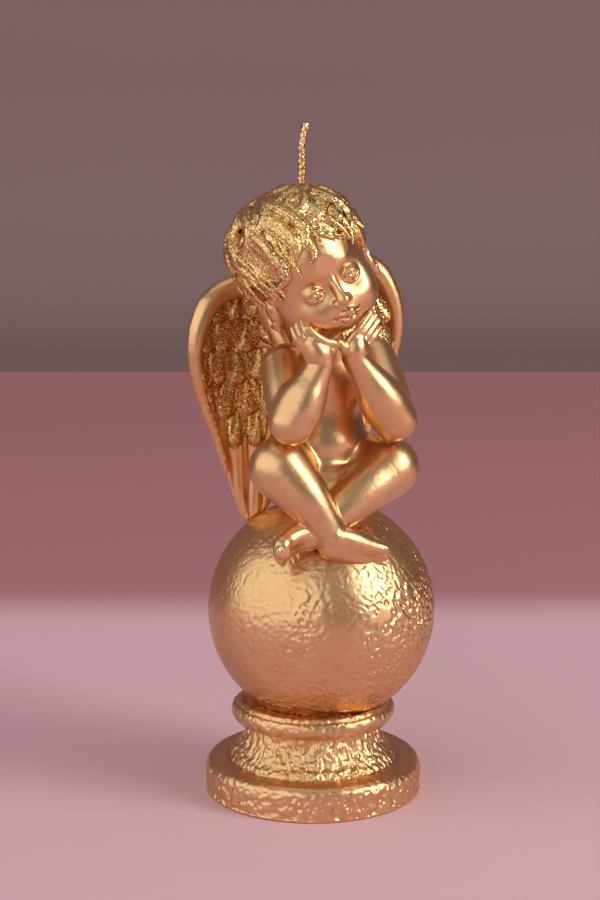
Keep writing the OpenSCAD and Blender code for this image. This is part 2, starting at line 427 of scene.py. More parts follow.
def section(name, forms, step):
    """One section of the body's skin. It runs on a little way under the sections that cover it."""
    tuck, sunk, margin = 0.7, 0.05, 2.5
    low = np.min([form[0] for form, _ in forms[name]], axis=0) - margin
    high = np.max([form[1] for form, _ in forms[name]], axis=0) + margin
    clay = Clay(low, high, step)
    cast = {part: clay.cast(pairs) for part, pairs in forms.items()}
    body = clay.blank()
    for chain in LIMBS:
        outer = None
        for part in reversed(chain):
            outer = cast[part] if outer is None else smooth_min(cast[part], outer, blend)
            blend = JOIN_BLEND[part.split("_")[1]]
        body = np.minimum(body, smooth_min(cast["torso"], outer, blend))
    order = list(forms)
    own = cast[name]
    before = clay.blank()
    after = clay.blank()
    for part in order:
        if part != name:
            side = before if order.index(part) < order.index(name) else after
            np.minimum(side, cast[part], out=side)
    covered = (own - after) / 2
    region = np.maximum((own - before) / 2, covered - tuck)
    body = body + sunk * fade(covered, 0, 0.25)
    clay.field = np.maximum(body, region).astype(np.float32)
    clay.press(shrunk(ball_form(), 0.6), 0, cut=True)
    return clay


def shrunk(form, amount):
    """The form with its surface set in by the amount."""
    low, high, distance = form
    return low, high, lambda x, y, z: distance(x, y, z) + amount


# ---------------------------------------------------------------- head, ears and hair, in the head's frame

SKULL_AT = np.array([0, 0.6, 2.4])
SKULL_R = np.array([13.1, 14, 13.4])
EYE_AT = (4.4, -10.7, -2.4)
EAR_AT = (12.1, -3.2, -4.8)
MOUTH_Z = -9.2
HAIR_BULGE = np.array([-0.76, 0.3, 0.45])  # the way from the skull's middle to the fullest part of the hair


def head_turn():
    """The matrix that turns the head's own directions into the frame's."""
    return np.array(Euler([math.radians(a) for a in HEAD_TURN]).to_matrix())


def head_to_frame(points):
    """Points of the head's own frame, in the figure's."""
    return np.asarray(points) @ head_turn().T + np.array(HEAD_AT)


def frame_to_head(point):
    """A point of the figure's frame, in the head's own."""
    return (np.array(point) - np.array(HEAD_AT)) @ head_turn()


def sculpt_head(step):
    """An infant's head: a round brow, full cheeks, eyes below the middle, a short nose and a small mouth."""
    clay = Clay((-16, -19, -21), (16, 17, 18), step)
    press, swell = clay.press, clay.swell
    press(oval(SKULL_AT, SKULL_R), 0)
    press(oval((0, -3.6, -5.6), (10.4, 9.6, 10.2)), 3)

    # Brow, chin, the mound the mouth sits on, and the dip between the eyes
    swell((0, -12.5, 5.5), 5, 0.7)
    swell((0, -12.4, -12.6), 2, 1.1)
    swell((0, -13.6, -9), 2.4, 1.2)
    swell((0, -13.6, -1.8), 1.6, -0.3)
    # Cheek, jowl, eye socket and brow ridge
    for side in SIDES:
        swell((side * 6.4, -10.2, -8), 3.3, 2.5)
        swell((side * 7, -5, -11), 4, 1.1)
        swell((side * 4.5, -13.3, -2.3), 1.9, -1.7)
        swell((side * 4.6, -13.2, 1.1), 1.6, 0.5)
    # The fold over the chin
    swell((0, -15, -11.1), 0.9, -0.6)

    # The bridge and the tip of the nose, its wings and nostrils, and the groove under it
    press(tube([(0, -12.9, -0.6, 0.9), (0, -13.9, -2.6, 0.95), (0, -14.9, -4.6, 1.15)], 10), 0.9)
    press(oval((0, -15.4, -5.3), (1.45, 1.3, 1.25)), 0.6)
    for side in SIDES:
        press(oval((side * 1.45, -14.5, -5.8), (0.95, 1.2, 0.9)), 0.45)
        press(oval((side * 0.72, -15.2, -6.6), (0.42, 0.7, 0.4)), 0.25, cut=True)
    press(limb([(0, -14.9, -7), (0, -14.9, -8)], [0.35, 0.45]), 0.4, cut=True)

    press_mouth(clay, MOUTH_Z)
    for side in SIDES:
        press_eye(clay, np.array(EYE_AT) * (side, 1, 1), side)
    return clay


def press_mouth(clay, height):
    """Two small full lips, a line between them and a dimple at each end."""

    def bowed(stops, thick):
        half = [(x, y, z + height, r) for (x, y, z), r in zip(stops, thick)]
        return tube(half + [(-x, y, z, r) for x, y, z, r in half[-2::-1]], 19)

    upper = [(-2.2, -13.4, 0.1), (-1.4, -14.2, 0.5), (-0.6, -14.7, 0.75), (0, -14.75, 0.55)]
    lower = [(-1.8, -13.6, -0.45), (-0.9, -14.3, -0.9), (0, -14.5, -1)]
    between = [(-2.5, -13.5, 0.1), (-1.2, -14.9, -0.1), (0, -15.45, -0.2)]
    clay.press(bowed(upper, [0.28, 0.58, 0.66, 0.6]), 0.22)
    clay.press(bowed(lower, [0.3, 0.72, 0.85]), 0.25)
    clay.press(bowed(between, [0.2, 0.2, 0.2]), 0.12, cut=True)
    for side in SIDES:
        clay.press(oval((side * 2.7, -13.4, height + 0.2), 0.45), 0.4, cut=True)


def press_eye(clay, eye, side):
    """An open eye: the ball, two lids, a fold above, a ringed iris and a drilled pupil."""

    count = 11

    def lid(radius, rise, span=0.84):
        return [
            eye + radius * np.array([math.sin(a), -math.cos(a), 0]) + (0, 0, rise * math.cos(a * 1.8))
            for a in np.linspace(-span, span, count)
        ]

    clay.press(oval(eye, 2.75), 0.15)
    ends = np.interp(np.linspace(-1, 1, count), [-1, 0, 1], [0.16, 1, 0.16])
    clay.press(limb(lid(2.9, 1.3), ends * 0.5), 0.16)
    clay.press(limb(lid(2.9, -1.05), ends * 0.36), 0.16)
    clay.press(limb(lid(3.15, 2.15, span=0.78), ends * 0.2), 0.25, cut=True)
    look = eye + (0, -2.68, 0.15)
    ring = [look + 0.82 * np.array([math.sin(a), 0.1, math.cos(a)]) for a in np.linspace(0, 2 * math.pi, 13)]
    clay.press(limb(ring, [0.13] * 13), 0.08, cut=True)
    clay.press(oval(look + (0.1 * side, -0.1, 0.1), (0.34, 0.4, 0.34)), 0.1, cut=True)


def sculpt_ear(side, step):
    """A rolled rim round a bowl, with an inner fold, a lobe and the small flap in front of the hole."""
    at = np.array(EAR_AT) * (side, 1, 1)
    clay = Clay(at - 5.5, at + 5.5, step)
    out = np.array([side * 0.75, 0.55, 0])
    ring = []
    for a in np.linspace(math.radians(-35), math.radians(250), 14):
        lift = 0.4 + 0.6 * math.sin(a * 0.6)
        ring.append(at + out * lift + (0, 1.9 * math.sin(a - 0.35), 3 * math.cos(a - 0.35)))
    clay.press(oval(at - out * 0.7, (1.4, 2.3, 3.1)), 0)
    clay.press(limb(ring, np.linspace(0.55, 0.75, 14)), 0.4)
    clay.press(oval(at + out * 0.7 + (0, -0.3, 0.2), (1.1, 1.2, 1.9)), 0.5, cut=True)
    clay.press(limb([at + out * 0.2 + (0, 0.9, 1.4), at + out * 0.3 + (0, 0.5, -1.2)], [0.35, 0.45]), 0.4)
    clay.press(oval(at + out * 0.3 + (0, -0.9, -3), (0.9, 1.1, 1.3)), 0.6)
    clay.press(oval(at + (0, -1.6, -0.4), (1, 0.7, 0.9)), 0.6)
    return clay


def whorl_axes():
    """The hair's whorl: its direction from the skull's middle, and two directions across it."""
    out = frame_to_head(WICK_CROWN) + np.array([-1.2, -5.2, 0.4]) - SKULL_AT
    out /= np.linalg.norm(out)
    front = np.array([0, -1, 0]) + out[1] * out
    front /= np.linalg.norm(front)
    return out, front, np.cross(out, front)


def hairline(heading):
    """The height in the head's frame where hair ends, for a heading in degrees away from the brow."""
    at = [0, 25, 45, 55, 64, 80, 92, 104, 120, 180]
    return np.interp(heading, at, [4, 3, 0.8, -4.2, -1.6, -0.4, -1.6, -7.5, -11, -12.5])


def lock_path(turn, begun, sweep, lift, shorter, wave, phase):
    """Points of one lock from an angle off the whorl down to where it ends, so far short of the hairline."""
    out, front, across = whorl_axes()
    stops = []
    fall = begun
    while fall < 2.6:
        heading = turn + sweep * (fall - begun) + wave * math.sin((fall - begun) * 4.6 + phase)
        level = math.cos(heading) * front + math.sin(heading) * across
        direction = math.cos(fall) * out + math.sin(fall) * level
        point = SKULL_AT + direction * SKULL_R
        ahead = math.degrees(math.atan2(abs(direction[0]), -direction[1]))
        if point[2] < hairline(ahead) + shorter:
            break
        bulge = 1.5 * math.exp(-((direction - HAIR_BULGE) @ (direction - HAIR_BULGE)) / 0.2)
        stops.append(point + direction * (lift + bulge + 0.5 * math.sin((fall - begun) * 5 + phase)))
        fall += 0.08
    return stops


def sculpt_hair(step, locks, seed):
    """A cap of wavy locks, each of four strands, laid in tiers from the hairline up to the whorl."""
    dice = random.Random(seed)
    clay = Clay((-19, -19, -17), (19, 20, 20), step)
    clay.press(oval(SKULL_AT, SKULL_R + (0.4, 0.4, 0.5)), 0)
    clay.swell(SKULL_AT + HAIR_BULGE * 13.6, 4.4, 1.9)
    x, y, z = clay.grid()
    ahead = np.degrees(np.arctan2(np.abs(x), -(y - SKULL_AT[1])))
    clay.field = smooth_max(clay.field, (hairline(ahead) + 1.6 - z).astype(np.float32), 1)

    # Each tier's angle off the whorl, its lift off the skull, its shift round, and how short it stops
    tiers = [(0.95, 0.3, 0.1, -0.6), (0.55, 0.6, 0.6, 1), (0.14, 0.85, 0.35, 3)]
    for start, lift, offset, shorter in tiers:
        for k in range(locks):
            turn = 2 * math.pi * (k + offset + dice.uniform(-0.3, 0.3)) / locks
            sweep = 0.35 + dice.uniform(-0.4, 0.45)
            short = shorter + dice.uniform(-1.3, 2.6)
            wave = dice.uniform(0.18, 0.34)
            begun = start + dice.uniform(-0.06, 0.1)
            path = lock_path(turn, begun, sweep, lift, short, wave, dice.uniform(0, 6.3))
            if len(path) > 4:
                press_lock(clay, np.array(path), dice)

    pit = frame_to_head(WICK_CROWN) + np.array([-0.9, -4.2, -0.4])
    clay.press(oval(pit, (1.4, 1.9, 2)), 0.5, cut=True)
    clay.press(shrunk(oval(SKULL_AT, SKULL_R), 0.6), 0, cut=True)
    return clay


def press_lock(clay, path, dice):
    """Strands side by side that draw together at the tip, which hooks to one side and lifts off the head."""
    hook = dice.choice((-1, 1, 1)) * dice.uniform(0.9, 2.7)
    width = dice.uniform(0.6, 0.9)
    ahead = np.gradient(path, axis=0)
    ahead /= np.linalg.norm(ahead, axis=1)[:, None]
    off = path - SKULL_AT
    off /= np.linalg.norm(off, axis=1)[:, None]
    beside = np.cross(ahead, off)
    t = np.linspace(0, 1, len(path))[:, None]
    bulk = np.clip(np.minimum(t * 4 + 0.4, (1 - t) * 1.9 + 0.1), 0, 1)
    flick = off * np.maximum(t - 0.65, 0) ** 2 * 5 * dice.uniform(0.2, 1)
    bend = beside * hook * np.maximum(t - 0.5, 0) ** 2 * 4 + flick
    for strand, height in ((-1.5, -0.1), (-0.5, 0.35), (0.5, 0.3), (1.5, -0.15)):
        raised = off * (height + dice.uniform(-0.15, 0.15)) * bulk
        line = path + bend + beside * strand * width * bulk * 0.85 + raised
        thick = (0.52 + 0.1 * dice.uniform(-1, 1)) * bulk
        line = smooth_path(np.hstack([line, np.maximum(thick, 0.2)]), len(line) * 2)
        for a in range(0, len(line) - 1, 2):
            clay.press(limb(line[a : a + 3, :3], line[a : a + 3, 3]), 0.1)


# ---------------------------------------------------------------- wings, foot, ball and wick

# Each wing's sheet is bent round an upright axis. Its outline is given as how far out and how high
WING_AXIS = (-16.5, -14.2)
WING_BEND = 24
WING_THICK = 2.3
WING_TIP = (12.9, 61.2)
WING_EDGE = [
    (3.4, 107), (7.3, 113), (12, 116.2), (15.6, 115.7), (19.2, 114.4), (22.3, 112.2), (24.5, 108.7),
    (25.9, 104.5), (26.1, 99.5), (24.9, 93.4), (22.3, 86.3), (19.8, 80.4), (17.4, 73.3), (15.5, 67.4),
    WING_TIP, (10.2, 61.6), (7.4, 63.6), (5, 69), (3.8, 78), (3.4, 90),
]
WING_RISE = {-1: 1.0, 1: 1.086}  # how tall each side's wing stands over its tip, against the outline
RIGHT_WING_WIDTH = 0.984  # keeps the mirrored wing inside the solid's own box


def wing_edge(side):
    """The outline of the wing on that side."""
    rise = WING_RISE[side]
    return [(out, WING_TIP[1] + (up - WING_TIP[1]) * rise) for out, up in WING_EDGE]


def outline_distance(edge, out, up):
    """Signed distance from a closed outline on a flat grid of places, negative inside."""
    nearest = np.full(np.broadcast(out, up).shape, 1e9)
    inside = np.zeros(nearest.shape, bool)
    for (a, b), (c, d) in zip(edge, np.roll(edge, -1, axis=0)):
        t = np.clip(((out - a) * (c - a) + (up - b) * (d - b)) / ((c - a) ** 2 + (d - b) ** 2 + 1e-9), 0, 1)
        nearest = np.minimum(nearest, (out - a - t * (c - a)) ** 2 + (up - b - t * (d - b)) ** 2)
        crossing = (b > up) != (d > up)
        inside ^= crossing & (out < (c - a) * (up - b) / (d - b + 1e-12) + a)
    return np.where(inside, -1, 1) * np.sqrt(nearest)


def feather_relief(side, out, up, seed):
    """Heights of the short lumpy feathers in rows, and of the long ones below them."""
    dice = random.Random(seed)
    rise = WING_RISE[side]
    base = WING_TIP[1]
    short = np.zeros(np.broadcast(out, up).shape)

    # Each row's height, its feathers' half width and half length, and how many there are
    rows = [(110, 2.9, 3.6, 5), (104.4, 3, 4.2, 5), (97.8, 3.1, 4.8, 5), (90.6, 3, 5.2, 4), (83.4, 2.7, 5, 3)]
    for row, (height, wide, tall, count) in enumerate(rows):
        height = base + (height - base) * rise
        for k in range(count):
            centre = 4.6 + (row % 2) * 2.4 + k * 4.7 + dice.uniform(-0.7, 0.7)
            drop = 0.012 * (centre - 12) ** 2 + dice.uniform(-0.9, 0.9)
            lean = math.radians(4 + centre * 0.5 + dice.uniform(-12, 12))
            broad, long = wide * dice.uniform(0.85, 1.15), tall * dice.uniform(0.85, 1.15)
            du, dv = out - centre, up - (height - drop)
            across = (du * math.cos(lean) + dv * math.sin(lean)) / broad
            down = (-du * math.sin(lean) + dv * math.cos(lean)) / long
            reach = across**2 + down**2
            ribs = 0.14 * np.cos(across * 8 + down * 2.5 * np.sign(across)) * fade(-reach, -0.9, -0.5)
            swell = (1.2 - 1.0 * down) * np.clip(1 - reach, 0, 1) ** 0.3 + ribs
            short = np.maximum(short, swell * (reach < 1))

    # Three long feathers fan from the wing's middle to its tip, each finely ridged
    top = base + (92 - base) * rise
    t = np.clip((top - up) / (top - base), 0, 1)
    count = 3
    spot = (out - 5 * (1 - t) - 9.2 * t) / (19.5 * (1 - t) ** 0.9 + 6.4 * t) * count
    wander = np.stack(np.broadcast_arrays(out, 0 * out, up * 0.3), axis=-1).reshape(-1, 3)
    spot = spot + 0.12 * lattice_noise(wander, 3, seed).reshape(spot.shape)
    ridge = np.abs(np.sin(math.pi * spot)) ** 0.7 + 0.1 * np.sin(spot * 2 * math.pi * 3)
    return short, 0.6 * ridge * fade(spot, -0.5, 0) * fade(top - up, 0, 6)


def sculpt_wing(side, step, lining):
    """A wing's sheet with its rolled leading edge, or the short feathers that line its inner face."""
    edge = smooth_path(wing_edge(side) + wing_edge(side)[:1], 90)[:-1]
    top = edge[:, 1].max()
    clay = Clay((1.5, -1, 59), (29.5, 14.5, top + 4), step)
    x, y, z = clay.grid()
    out, up = x[:, 0, :], z[0]
    rim = outline_distance(edge, out, up)[:, None, :]
    short, long_feathers = (h[:, None, :] for h in feather_relief(side, out, up, 5 if side < 0 else 9))
    around = np.hypot(x + WING_AXIS[0], y - WING_AXIS[1])
    depth = around - WING_BEND
    if lining:
        low_end = WING_TIP[1] + (77 - WING_TIP[1]) * WING_RISE[side]
        body = np.maximum(-(short * 0.9) - depth, depth - 0.8)
        body = np.maximum(body, 0.25 - short)
        body = np.maximum(body, low_end - up[:, None, :])
        clay.field = smooth_max(body, rim + 1.6, 0.5).astype(np.float32)
        return clay

    face = 0.3 - long_feathers * 0.9 * fade(-rim, 0, 2)
    back = WING_THICK - 0.9 + (short * 0.35 + long_feathers * 0.7) * fade(-rim, 0, 2.5)
    sheet = smooth_max(face - depth, depth - back, 0.6)
    clay.field = smooth_max(sheet, rim, 1.2).astype(np.float32)

    roll = smooth_path(wing_edge(side)[:13], 40)
    ahead = np.gradient(roll, axis=0)
    inward = np.stack([ahead[:, 1], -ahead[:, 0]], axis=-1) / np.linalg.norm(ahead, axis=1)[:, None]
    stops, radii = [0, 0.12, 0.5, 0.68, 0.85, 1], [1.6, 2.3, 2.1, 1.4, 0.9, 0.6]
    thick = np.interp(np.linspace(0, 1, len(roll)), stops, radii)
    roll = roll + inward * thick[:, None] * 0.9
    deep = np.sqrt(np.maximum((WING_BEND + 0.4) ** 2 - (roll[:, 0] + WING_AXIS[0]) ** 2, 0)) + WING_AXIS[1]
    joints = np.column_stack([roll[:, 0], deep, roll[:, 1]])
    for k in range(len(joints) - 1):
        clay.press(limb(joints[k : k + 2], thick[k : k + 2]), 0.9)
    clay.press(limb([(2.6, 3.4, 97), (5, 6, 103), (8, 8.4, 109)], [2.4, 2.6, 2]), 2)
    return clay


def turned_ring(profile, around, spacing, plain_inside):
    """A closed profile of (radius, height) turned about the axis, with few rows inside the given radius."""
    profile = np.array(profile, float)
    rows = [profile[0]]
    for a, b in zip(profile, profile[1:]):
        wide = spacing * (9 if min(a[0], b[0]) < plain_inside else 1)
        count = max(1, math.ceil(np.linalg.norm(b - a) / wide))
        rows += [a + (b - a) * (k + 1) / count for k in range(count)]
    rows = np.array(rows[:-1])
    angle = np.linspace(0, 2 * math.pi, around, endpoint=False)
    radius, height = rows[:, 0], rows[:, 1]
    turned = [np.outer(wave, radius) for wave in (np.cos(angle), np.sin(angle))]
    points = np.stack([*turned, np.outer(np.ones(around), height)], axis=-1).reshape(-1, 3)
    count = len(rows)
    a = np.arange(around)[:, None] * count
    b = (np.arange(around)[:, None] + 1) % around * count
    j = np.arange(count)[None, :]
    k = (j + 1) % count
    faces = np.stack([a + j, b + j, b + k, a + k], axis=-1).reshape(-1, 4)
    return points, faces


def arc(centre, radius, start, end, count=9):
    """Points of a round stretch of profile, between two angles in degrees."""
    angles = np.radians(np.linspace(start, end, count))
    return [(centre[0] + radius * math.cos(a), centre[1] + radius * math.sin(a)) for a in angles]


def worm_dents(points, spacing, seed, long=1.3):
    """Depths, 0 to 1, of bent grooves and round pits scattered over a surface, about the spacing apart."""
    dice = np.random.default_rng(seed)
    picked = dice.permutation(len(points))[: len(points) // 6]
    cell = np.floor(points[picked] / spacing).astype(int)
    at = points[picked][np.unique(cell, axis=0, return_index=True)[1]]
    at = at[dice.random(len(at)) < 0.5]
    depth = np.zeros(len(points))
    order = np.argsort(points[:, 2])
    height = points[order, 2]
    for centre in at:
        size = dice.uniform(0.24, 0.5)
        run = dice.normal(size=3) * long * dice.choice((0.15, 0.5, 1), p=(0.45, 0.3, 0.25)) * 0.5
        bend = dice.normal(size=3) * 0.25 * np.linalg.norm(run)
        strength = dice.uniform(0.45, 1)
        reach = np.linalg.norm(run) + 3 * size
        near = order[slice(*np.searchsorted(height, (centre[2] - reach, centre[2] + reach)))]
        near = near[(np.abs(points[near] - centre) < reach).all(axis=1)]
        part = points[near]
        t = np.clip((part - centre) @ run / (run @ run), -1, 1)[:, None]
        off = np.linalg.norm(part - centre - run * t - bend * (t * t - 0.3), axis=1) / size
        depth[near] = np.maximum(depth[near], strength * np.exp(-0.4 * off**4))
    return depth


def dented(points, faces, amount):
    """The points pushed in along their normals."""
    return points - outward(points, faces) * amount[:, None]


# ---------------------------------------------------------------- finishes


class Field:
    """A value that changes over a surface. Arithmetic on it adds Math nodes."""

    def __init__(self, finish, socket):
        self.finish = finish
        self.socket = socket

    def _math(self, operation, *values):
        return self.finish.node("ShaderNodeMath", {"operation": operation}, dict(enumerate(values)))

    def __add__(self, other):
        return self._math("ADD", self, other)

    __radd__ = __add__

    def __sub__(self, other):
        return self._math("SUBTRACT", self, other)

    def __rsub__(self, other):
        return self._math("SUBTRACT", other, self)

    def __mul__(self, other):
        return self._math("MULTIPLY", self, other)

    __rmul__ = __mul__

    def __truediv__(self, other):
        return self._math("DIVIDE", self, other)

    def __pow__(self, power):
        return self._math("POWER", self, power)

    def ramp(self, start, end):
        """0 at start and 1 at end, eased and held beyond."""
        inputs = {"Value": self, "From Min": start, "From Max": end, "To Min": 0.0, "To Max": 1.0}
        return self.finish.node("ShaderNodeMapRange", {"interpolation_type": "SMOOTHSTEP"}, inputs)


class Finish:
    """A material on one metallic shader, built up node by node."""

    def __init__(self, name):
        self.material = bpy.data.materials.new(name)
        self.material.use_nodes = True
        self.tree = self.material.node_tree
        self.shader = self.tree.nodes["Principled BSDF"]
        self.place = self.node("ShaderNodeTexCoord", {}, {}, "Object")

    def node(self, kind, settings, inputs, output=0):
        """Adds a node: settings first, then each input's value or link. Returns the chosen output."""
        node = self.tree.nodes.new(kind)
        for key, value in settings.items():
            setattr(node, key, value)
        for key, value in inputs.items():
            self.feed(node.inputs[key], value)
        return Field(self, node.outputs[output])

    def feed(self, socket, value):
        if isinstance(value, Field):
            self.tree.links.new(value.socket, socket)
        else:
            socket.default_value = value

    def set(self, **sockets):
        """Sets the shader's own sockets; an underscore in a name stands for a space."""
        for key, value in sockets.items():
            self.feed(self.shader.inputs[key.replace("_", " ")], value)

    def noise(self, size_mm, detail, roughness, place=None):
        """Cloudy variation, with clouds of about the given size."""
        inputs = {"Vector": place or self.place, "Scale": 1 / (size_mm * MM)}
        inputs |= {"Detail": detail, "Roughness": roughness}
        return self.node("ShaderNodeTexNoise", {}, inputs, "Fac")

    def cells(self, size_mm):
        """A random colour for each cell of about the given size."""
        inputs = {"Vector": self.place, "Scale": 1 / (size_mm * MM), "Randomness": 1.0}
        return self.node("ShaderNodeTexVoronoi", {}, inputs, "Color")

    def vector(self, operation, *values, output=0, **named):
        """A vector sum, product, scaling or direction."""
        inputs = {**dict(enumerate(values)), **named}
        return self.node("ShaderNodeVectorMath", {"operation": operation}, inputs, output)

    def blend(self, factor, a, b):
        """A colour between a and b."""
        settings = {"data_type": "RGBA", "clamp_factor": True}
        return self.node("ShaderNodeMix", settings, {0: factor, 6: a, 7: b}, 2)

    def bump(self, height, depth_mm):
        """A normal that leans with the height, over the given depth."""
        inputs = {"Height": height, "Distance": depth_mm * MM, "Strength": 1.0}
        return self.node("ShaderNodeBump", {}, inputs)


def colour(values):
    """The three values as an opaque colour."""
    return (*values, 1.0)


def lacquer_finish(name, gold, grain_mm, roughness, brushed=False):
    """Satin gold lacquer over wax: fine orange peel, cloudy sheen, and copper showing in the thin patches."""
    finish = Finish(name)
    cloud = finish.noise(7.0, 3.0, 0.55)
    speck = finish.noise(0.5, 2.0, 0.6)
    thin = finish.noise(2.2, 4.0, 0.6).ramp(0.52, 0.72)
    warm = finish.blend(cloud.ramp(0.35, 0.7) * 0.6, colour(gold), (0.78, 0.44, 0.2, 1))
    tint = finish.blend(thin * 0.3, warm, (0.62, 0.28, 0.1, 1))
    place = finish.vector("MULTIPLY", finish.place, (1.0, 1.0, 0.2)) if brushed else finish.place
    peel = finish.noise(grain_mm, 3.0, 0.6, place)
    fine = finish.noise(0.28, 2.0, 0.6, place)
    normal = finish.bump(peel + fine * 0.35, 0.2 if brushed else 0.06)
    rough = roughness + speck * 0.08 + cloud * 0.12 - 0.1
    finish.set(Base_Color=tint, Metallic=1.0, Roughness=rough, Normal=normal)
    return finish.material


def glitter_finish(name, gold, cell_mm, sparkle, depth):
    """Gold flakes of their own tilt, tone and gloss, set in lacquer, with painted shade: dark brown cells stand
    in for the shaded gaps between flakes, and the greater the depth, the more of them.
    """
    finish = Finish(name)
    flake = finish.cells(cell_mm)
    apart = finish.node("ShaderNodeSeparateColor", {}, {"Color": flake}, "Red")
    tone = finish.node("ShaderNodeSeparateColor", {}, {"Color": flake}, "Green")
    clump = finish.noise(1.6, 3.0, 0.6)
    tilt = finish.vector("SUBTRACT", flake, (0.5, 0.5, 0.5))
    tilt = finish.vector("SCALE", tilt, Scale=sparkle)
    grain = finish.bump(clump, 0.12)
    normal = finish.vector("NORMALIZE", finish.vector("ADD", grain, tilt))
    # Painted shade: cells whose tone and clump fall low are painted dark brown for the shaded gaps between
    # flakes; a greater depth paints more of them
    gap_shade_cutoff = 0.25 + depth
    deep = finish.blend((tone + clump * 0.4).ramp(gap_shade_cutoff, gap_shade_cutoff + 0.45), (0.42, 0.17, 0.03, 1), colour(gold))
    tint = finish.blend(apart.ramp(0.7 + depth * 0.3, 0.86 + depth * 0.3), deep, (1.0, 0.88, 0.5, 1))
    finish.set(Base_Color=tint, Metallic=1.0, Roughness=0.16 + tone * 0.2, Normal=normal)
    return finish.material


def floor_finish(name, tint, fades=False):
    """Matt paint; the floor's gets deeper in tone behind the object."""
    finish = Finish(name)
    cloud = finish.noise(260.0, 2.0, 0.5)
    shade = finish.blend(cloud * 0.12, colour(tint), colour([c * 0.85 for c in tint]))
    if fades:
        away = (math.sin(STAGE_TURN), math.cos(STAGE_TURN), 0.0)
        behind = finish.vector("DOT_PRODUCT", finish.place, away, output="Value")
        deep = colour([tint[0] * 0.62, tint[1] * 0.42, tint[2] * 0.42])
        shade = finish.blend(behind.ramp(0.13, 0.17), shade, deep)
    finish.set(Base_Color=shade, Roughness=0.75 + cloud * 0.1, Metallic=0.0, Normal=finish.bump(cloud, 0.01))
    return finish.material


# ---------------------------------------------------------------- what a user would change


class CherubSizes(bpy.types.PropertyGroup):
    skin_step: bpy.props.FloatProperty(
        name="Skin fineness", description="Spacing of the sculpted skin's surface points", default=0.3 * MM,
        min=0.15 * MM, max=1 * MM, unit="LENGTH", precision=5,
    )
    head_step: bpy.props.FloatProperty(
        name="Head fineness", description="Spacing of the face's surface points", default=0.2 * MM,
        min=0.12 * MM, max=1 * MM, unit="LENGTH", precision=5,
    )
    hair_locks: bpy.props.IntProperty(
        name="Locks in a tier", description="How many locks of hair lie side by side round the whorl",
        default=21, min=8, max=30,
    )
    pit_depth: bpy.props.FloatProperty(
        name="Pit depth", description="Depth of the dents in the ball and the foot", default=0.3 * MM,
        min=0.0, max=0.5 * MM, unit="LENGTH", precision=5,
    )
    wick_twist: bpy.props.FloatProperty(
        name="Wick lay", description="Height of one turn of the wick's strands", default=4 * MM,
        min=2 * MM, max=12 * MM, unit="LENGTH", precision=5,
    )


class CherubColours(bpy.types.PropertyGroup):
    gold: bpy.props.FloatVectorProperty(
        name="Gold", description="Colour of the smooth lacquer", subtype="COLOR", size=3, min=0, max=1,
        default=(0.8, 0.515, 0.265),
    )
    glitter: bpy.props.FloatVectorProperty(
        name="Glitter", description="Colour of the flakes", subtype="COLOR", size=3, min=0, max=1,
        default=(0.8, 0.51, 0.2),
    )
    floor: bpy.props.FloatVectorProperty(
        name="Floor", description="Colour of the floor", subtype="COLOR", size=3, min=0, max=1,
        default=(0.8, 0.53, 0.62),
    )
    wall: bpy.props.FloatVectorProperty(
        name="Wall", description="Colour of the wall behind", subtype="COLOR", size=3, min=0, max=1,
        default=(0.27, 0.175, 0.19),
    )


def sizes():
    return bpy.context.scene.cherub_sizes


def colours():
    return bpy.context.scene.cherub_colours


def finish_once(name, make, *values):
    """The finish of that name, made the first time it is asked for."""
    return bpy.data.materials.get(name) or make(name, *values)


def smooth_gold():
    return finish_once("satin_lacquer", lacquer_finish, tuple(colours().gold), 1.2, 0.32)


def pitted_gold():
    return finish_once("pitted_lacquer", lacquer_finish, tuple(colours().gold), 0.9, 0.33)


def streaked_gold():
    return finish_once("streaked_lacquer", lacquer_finish, tuple(colours().gold), 0.7, 0.3, True)


def hair_glitter():
    return finish_once("hair_flakes", glitter_finish, tuple(colours().glitter), 0.27, 0.4, 0.0)


def lining_glitter():
    # Painted shade: the lining's flakes are the glitter colour darkened to 0.7, a shaded copy for the wing's
    # inner face, with more painted gap shade (depth 0.2) than the hair
    dim = tuple(c * 0.7 for c in colours().glitter)
    return finish_once("lining_flakes", glitter_finish, dim, 0.3, 0.42, 0.2)


# ---------------------------------------------------------------- one operator for each kind of section


class CHERUB_OT_foot(bpy.types.Operator):
    """Turn the round foot: a dented slab, a streaked waist and a bead"""

    bl_idname = "cherub.foot"
    bl_label = "Foot"

    def execute(self, context):
        depth = sizes().pit_depth / MM
        slot = "gold_lacquer_textured"
        add_piece("foot_slab", *foot_slab(depth), pitted_gold(), slot, ["base_disc"])
        add_piece("foot_waist", *foot_waist(depth), streaked_gold(), slot, ["base_waist"])
        add_piece("foot_bead", *foot_bead(depth), pitted_gold(), slot, ["base_bead"])
        return {"FINISHED"}


def foot_slab(depth):
    """The slab: rounded at its rim, dented round its side, and a little hollow on top."""
    slab_r, slab_h = slab_size()
    sole_r, round_r, hollow = 0.8, 2.6, 0.35
    slab = [(WICK_BORE, 0), (slab_r - sole_r, 0)] + arc((slab_r - sole_r, sole_r), sole_r, -90, 0)
    slab += arc((slab_r - round_r, slab_h - round_r), round_r, 0, 90) + [(19.6, slab_h)]
    slab += [(19.2, slab_h - hollow), (WICK_BORE, slab_h - hollow), (WICK_BORE, 0)]
    points, faces = turned_ring(slab, 600, 0.26, 17.5)
    rim = fade(points[:, 2], slab_h - 2.4, slab_h - 1)
    side = fade(off_axis(points), 18, 20) * fade(points[:, 2], 0.1, 0.8)
    hammered = 1.1 * worm_dents(points, 1.2, 3, 1.8) + 0.6 * lattice_noise(points, 1.8, 8)
    return dented(points, faces, hammered * depth * side * (1 - 0.7 * rim) + 0.22 * side), faces


